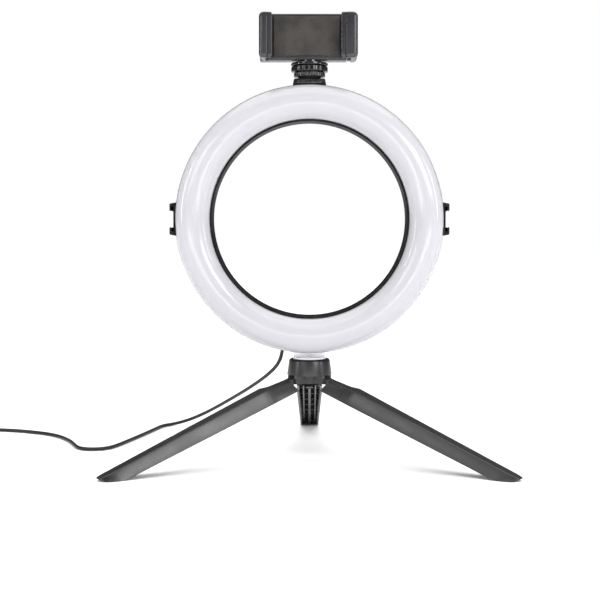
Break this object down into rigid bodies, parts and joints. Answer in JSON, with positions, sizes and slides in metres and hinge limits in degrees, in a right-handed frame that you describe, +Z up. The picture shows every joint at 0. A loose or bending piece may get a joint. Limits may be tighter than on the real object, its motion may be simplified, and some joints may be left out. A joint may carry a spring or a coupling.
{
  "type": "ring light",
  "caption": "Desktop ring light with an opal diffuser in a black shell, cold shoes, a spring phone clamp, a tilting neck, a folding mini tripod and a corded USB controller.",
  "frame": {"origin": "on the table at the middle of the light's own box, without the lead; the tripod's axis is 40 mm in front of it", "axes": "+Z up, +X to the right as the user faces the light, +Y away from the user"},
  "size_m": [0.4593, 0.2554, 0.3333],
  "materials": {
    "board": "white solder-masked circuit board",
    "brass": "turned brass insert",
    "button_plastic": "pale grey key caps",
    "clamp_plastic": "satin black nylon",
    "cool_chip": "cool LED phosphor",
    "cord_jacket": "soft PVC cord jacket",
    "milky_plastic": "opal diffuser, glossy",
    "pad_rubber": "fine-grained soft pad",
    "plug_insulator": "white plug insulator",
    "shell_plastic": "polished black ABS",
    "spring_steel": "bright spring wire",
    "stand_plastic": "fine-textured moulded nylon",
    "steel": "zinc-plated screw steel",
    "tie_strap": "woven hook-and-loop strap",
    "warm_chip": "warm LED phosphor",
    "white_plastic": "smooth white ABS",
    "wire": "insulated lead"
  },
  "bodies": {
    "hub": {"hub_collar": "stand_plastic", "hub_core": "stand_plastic", "leg_pins": "steel", "tripod_screw": "steel", "swivel_washer": "pad_rubber", "cord_lead": "cord_jacket", "cord_tail": "cord_jacket", "cord_end": "cord_jacket", "cord_coil": "cord_jacket", "coil_tie": "tie_strap", "control_base": "clamp_plastic", "control_cover": "clamp_plastic", "control_board": "board", "usb_grip": "clamp_plastic", "usb_shell": "steel", "usb_tongue": "plug_insulator"},
    "leg_back": {"leg_back": "stand_plastic"},
    "leg_left": {"leg_left": "stand_plastic"},
    "leg_right": {"leg_right": "stand_plastic"},
    "neck": {"neck": "white_plastic"},
    "head": {"diffuser": "milky_plastic", "back_shell": "shell_plastic", "led_board": "board", "leds_warm": "warm_chip", "leds_cool": "cool_chip", "board_spacers": "steel", "board_screws": "steel", "tilt_screw": "steel", "tilt_nut": "steel", "cord_gland": "cord_jacket", "lead_wires": "wire", "shoe_top": "shell_plastic", "shoe_left": "shell_plastic", "shoe_right": "shell_plastic"},
    "adapter": {"adapter_foot": "shell_plastic", "adapter_stud": "steel"},
    "lock_wheel": {"lock_wheel": "shell_plastic"},
    "thumb_wheel": {"thumb_wheel": "shell_plastic"},
    "clamp": {"clamp_foot": "shell_plastic", "clamp_insert": "brass", "clamp_frame": "clamp_plastic", "clamp_cover": "clamp_plastic", "clamp_screws": "steel", "clamp_pad": "pad_rubber", "jaw_left": "clamp_plastic", "jaw_left_pad": "pad_rubber", "clamp_springs": "spring_steel"},
    "jaw": {"jaw_right": "clamp_plastic", "jaw_right_pad": "pad_rubber"},
    "button_power": {"button_power": "button_plastic"},
    "button_bright": {"button_bright": "button_plastic"},
    "button_dim": {"button_dim": "button_plastic"},
    "button_colour": {"button_colour": "button_plastic"}
  },
  "joints": [
    {"name": "leg_back_fold", "type": "hinge", "parent": "hub", "child": "leg_back", "pos_m": [0, -0.02807, 0.0608], "axis": [-1, 0, 0], "range_deg": [0, 69]},
    {"name": "leg_left_fold", "type": "hinge", "parent": "hub", "child": "leg_left", "pos_m": [-0.01126, -0.04757, 0.0608], "axis": [0.5, -0.866, 0], "range_deg": [0, 69]},
    {"name": "leg_right_fold", "type": "hinge", "parent": "hub", "child": "leg_right", "pos_m": [0.01126, -0.04757, 0.0608], "axis": [0.5, 0.866, 0], "range_deg": [0, 69]},
    {"name": "head_pan", "type": "hinge", "parent": "hub", "child": "neck", "pos_m": [0, -0.04107, 0.072], "axis": [0, 0, 1], "range_deg": [-45, 45], "deforming": ["cord_lead"]},
    {"name": "head_tilt", "type": "hinge", "parent": "neck", "child": "head", "pos_m": [0, -0.03507, 0.0885], "axis": [1, 0, 0], "range_deg": [-60, 8], "deforming": ["cord_lead"]},
    {"name": "adapter_slide", "type": "slide", "parent": "head", "child": "adapter", "axis": [0, -1, 0], "range_m": [0, 0.0165]},
    {"name": "lock_wheel_turn", "type": "hinge", "parent": "adapter", "child": "lock_wheel", "pos_m": [0, -0.05257, 0.288], "axis": [0, 0, 1], "range_deg": [0, 80]},
    {"name": "thumb_wheel_turn", "type": "hinge", "parent": "adapter", "child": "thumb_wheel", "pos_m": [0, -0.05257, 0.292], "axis": [0, 0, 1], "range_deg": [-80, 0]},
    {"name": "clamp_swivel", "type": "hinge", "parent": "adapter", "child": "clamp", "pos_m": [0, -0.05257, 0.3], "axis": [0, 0, 1], "range_deg": [-90, 90]},
    {"name": "jaw_slide", "type": "slide", "parent": "clamp", "child": "jaw", "axis": [1, 0, 0], "range_m": [0, 0.028], "stiffness_N_per_m": 120, "springref_m": -0.02, "deforming": ["clamp_springs"]},
    {"name": "button_power_press", "type": "slide", "parent": "hub", "child": "button_power", "axis": [0, 0, -1], "range_m": [0, 0.0006], "stiffness_N_per_m": 800},
    {"name": "button_bright_press", "type": "slide", "parent": "hub", "child": "button_bright", "axis": [0, 0, -1], "range_m": [0, 0.0006], "stiffness_N_per_m": 800},
    {"name": "button_dim_press", "type": "slide", "parent": "hub", "child": "button_dim", "axis": [0, 0, -1], "range_m": [0, 0.0006], "stiffness_N_per_m": 800},
    {"name": "button_colour_press", "type": "slide", "parent": "hub", "child": "button_colour", "axis": [0, 0, -1], "range_m": [0, 0.0006], "stiffness_N_per_m": 800}
  ]
}
